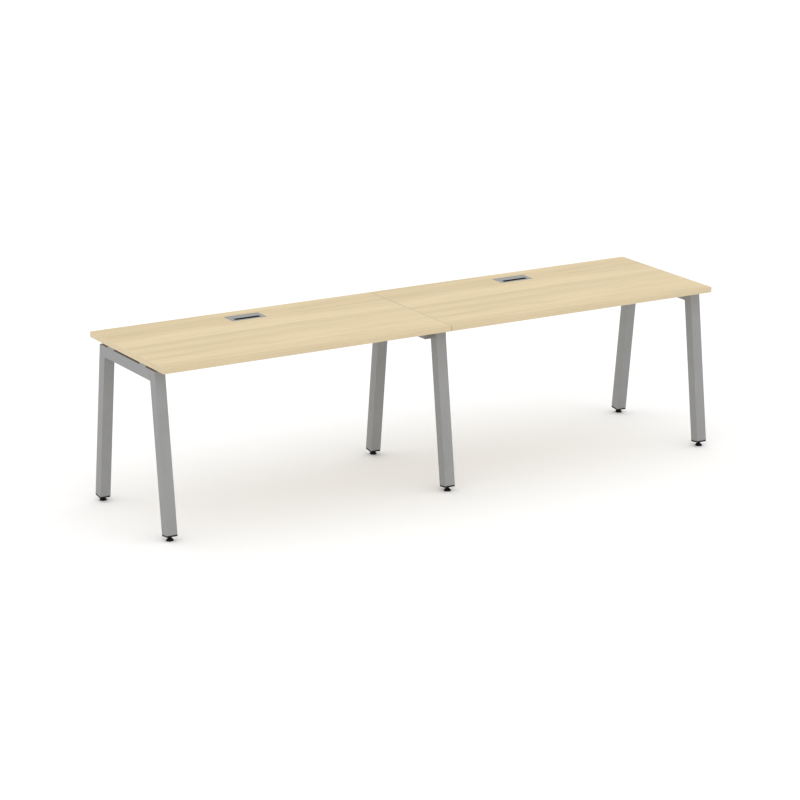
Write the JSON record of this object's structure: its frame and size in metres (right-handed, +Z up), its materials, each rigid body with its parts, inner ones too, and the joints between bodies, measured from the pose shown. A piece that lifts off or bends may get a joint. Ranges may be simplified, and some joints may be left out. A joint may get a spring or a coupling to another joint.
{
  "type": "office workstation desk",
  "caption": "Single-sided bench workstation: maple-look worktops end to end on splayed grey tube frames, with flip-up cable flaps and levelling feet.",
  "frame": {"origin": "on the floor, below the middle of the bench", "axes": "+X along the bench, the user sits at -Y, the cable flaps are towards +Y, +Z up"},
  "size_m": [2.8, 0.716, 0.762],
  "materials": {
    "maple_laminate": "pale maple woodgrain laminate, satin, on chipboard, grain along the length",
    "powder_coat": "silver-grey fine-texture powder coat on steel tube",
    "anodised_aluminium": "satin silver anodised",
    "black_plastic": "moulded black polypropylene, fine matt grain",
    "blackened_steel": "black passivated steel",
    "zinc_steel": "bright zinc plated steel"
  },
  "bodies": {
    "bench": {"left_back_beam": "powder_coat", "left_back_inner_hook_screw": "zinc_steel", "left_back_leg": "powder_coat", "left_back_leg_cap": "black_plastic", "left_back_outer_hook_screw": "zinc_steel", "left_back_threaded_bush": "zinc_steel", "left_edging": "maple_laminate", "left_flap_frame": "anodised_aluminium", "left_flap_hinge_rod": "zinc_steel", "left_flap_liner": "black_plastic", "left_front_beam": "powder_coat", "left_front_inner_hook_screw": "zinc_steel", "left_front_leg": "powder_coat", "left_front_leg_cap": "black_plastic", "left_front_outer_hook_screw": "zinc_steel", "left_front_threaded_bush": "zinc_steel", "left_rail": "powder_coat", "left_worktop": "maple_laminate", "middle_back_leg": "powder_coat", "middle_back_leg_cap": "black_plastic", "middle_back_threaded_bush": "zinc_steel", "middle_front_leg": "powder_coat", "middle_front_leg_cap": "black_plastic", "middle_front_threaded_bush": "zinc_steel", "middle_rail": "powder_coat", "right_back_beam": "powder_coat", "right_back_inner_hook_screw": "zinc_steel", "right_back_leg": "powder_coat", "right_back_leg_cap": "black_plastic", "right_back_outer_hook_screw": "zinc_steel", "right_back_threaded_bush": "zinc_steel", "right_edging": "maple_laminate", "right_flap_frame": "anodised_aluminium", "right_flap_hinge_rod": "zinc_steel", "right_flap_liner": "black_plastic", "right_front_beam": "powder_coat", "right_front_inner_hook_screw": "zinc_steel", "right_front_leg": "powder_coat", "right_front_leg_cap": "black_plastic", "right_front_outer_hook_screw": "zinc_steel", "right_front_threaded_bush": "zinc_steel", "right_rail": "powder_coat", "right_worktop": "maple_laminate"},
    "left_flap": {"left_flap_lid": "anodised_aluminium", "left_flap_slot_trim": "black_plastic"},
    "right_flap": {"right_flap_lid": "anodised_aluminium", "right_flap_slot_trim": "black_plastic"},
    "left_front_pad": {"left_front_foot_pad": "black_plastic"},
    "left_front_stud": {"left_front_levelling_stud": "blackened_steel"},
    "left_back_pad": {"left_back_foot_pad": "black_plastic"},
    "left_back_stud": {"left_back_levelling_stud": "blackened_steel"},
    "middle_front_pad": {"middle_front_foot_pad": "black_plastic"},
    "middle_front_stud": {"middle_front_levelling_stud": "blackened_steel"},
    "middle_back_pad": {"middle_back_foot_pad": "black_plastic"},
    "middle_back_stud": {"middle_back_levelling_stud": "blackened_steel"},
    "right_front_pad": {"right_front_foot_pad": "black_plastic"},
    "right_front_stud": {"right_front_levelling_stud": "blackened_steel"},
    "right_back_pad": {"right_back_foot_pad": "black_plastic"},
    "right_back_stud": {"right_back_levelling_stud": "blackened_steel"}
  },
  "joints": [
    {"name": "left_flap_hinge", "type": "hinge", "parent": "bench", "child": "left_flap", "pos_m": [-0.70025, 0.2782, 0.7592], "axis": [-1, 0, 0], "range_deg": [0, 95]},
    {"name": "right_flap_hinge", "type": "hinge", "parent": "bench", "child": "right_flap", "pos_m": [0.70025, 0.2782, 0.7592], "axis": [-1, 0, 0], "range_deg": [0, 95]},
    {"name": "left_front_foot_travel", "type": "slide", "parent": "bench", "child": "left_front_pad", "axis": [0, 0, -1], "range_m": [-0.00135, 0.0126]},
    {"name": "left_front_foot_turn", "type": "hinge", "parent": "left_front_pad", "child": "left_front_stud", "pos_m": [-1.3727, -0.32781, 0], "axis": [0, 0, -1], "range_deg": [-360, 3600]},
    {"name": "left_back_foot_travel", "type": "slide", "parent": "bench", "child": "left_back_pad", "axis": [0, 0, -1], "range_m": [-0.00135, 0.0126]},
    {"name": "left_back_foot_turn", "type": "hinge", "parent": "left_back_pad", "child": "left_back_stud", "pos_m": [-1.3727, 0.32781, 0], "axis": [0, 0, -1], "range_deg": [-360, 3600]},
    {"name": "middle_front_foot_travel", "type": "slide", "parent": "bench", "child": "middle_front_pad", "axis": [0, 0, -1], "range_m": [-0.00135, 0.0126]},
    {"name": "middle_front_foot_turn", "type": "hinge", "parent": "middle_front_pad", "child": "middle_front_stud", "pos_m": [0, -0.32781, 0], "axis": [0, 0, -1], "range_deg": [-360, 3600]},
    {"name": "middle_back_foot_travel", "type": "slide", "parent": "bench", "child": "middle_back_pad", "axis": [0, 0, -1], "range_m": [-0.00135, 0.0126]},
    {"name": "middle_back_foot_turn", "type": "hinge", "parent": "middle_back_pad", "child": "middle_back_stud", "pos_m": [0, 0.32781, 0], "axis": [0, 0, -1], "range_deg": [-360, 3600]},
    {"name": "right_front_foot_travel", "type": "slide", "parent": "bench", "child": "right_front_pad", "axis": [0, 0, -1], "range_m": [-0.00135, 0.0126]},
    {"name": "right_front_foot_turn", "type": "hinge", "parent": "right_front_pad", "child": "right_front_stud", "pos_m": [1.3727, -0.32781, 0], "axis": [0, 0, -1], "range_deg": [-360, 3600]},
    {"name": "right_back_foot_travel", "type": "slide", "parent": "bench", "child": "right_back_pad", "axis": [0, 0, -1], "range_m": [-0.00135, 0.0126]},
    {"name": "right_back_foot_turn", "type": "hinge", "parent": "right_back_pad", "child": "right_back_stud", "pos_m": [1.3727, 0.32781, 0], "axis": [0, 0, -1], "range_deg": [-360, 3600]}
  ],
  "couplings": [
    {"joint": "left_front_foot_travel", "follows": "left_front_foot_turn", "m_per_rad": 0.00019894},
    {"joint": "left_back_foot_travel", "follows": "left_back_foot_turn", "m_per_rad": 0.00019894},
    {"joint": "middle_front_foot_travel", "follows": "middle_front_foot_turn", "m_per_rad": 0.00019894},
    {"joint": "middle_back_foot_travel", "follows": "middle_back_foot_turn", "m_per_rad": 0.00019894},
    {"joint": "right_front_foot_travel", "follows": "right_front_foot_turn", "m_per_rad": 0.00019894},
    {"joint": "right_back_foot_travel", "follows": "right_back_foot_turn", "m_per_rad": 0.00019894}
  ]
}
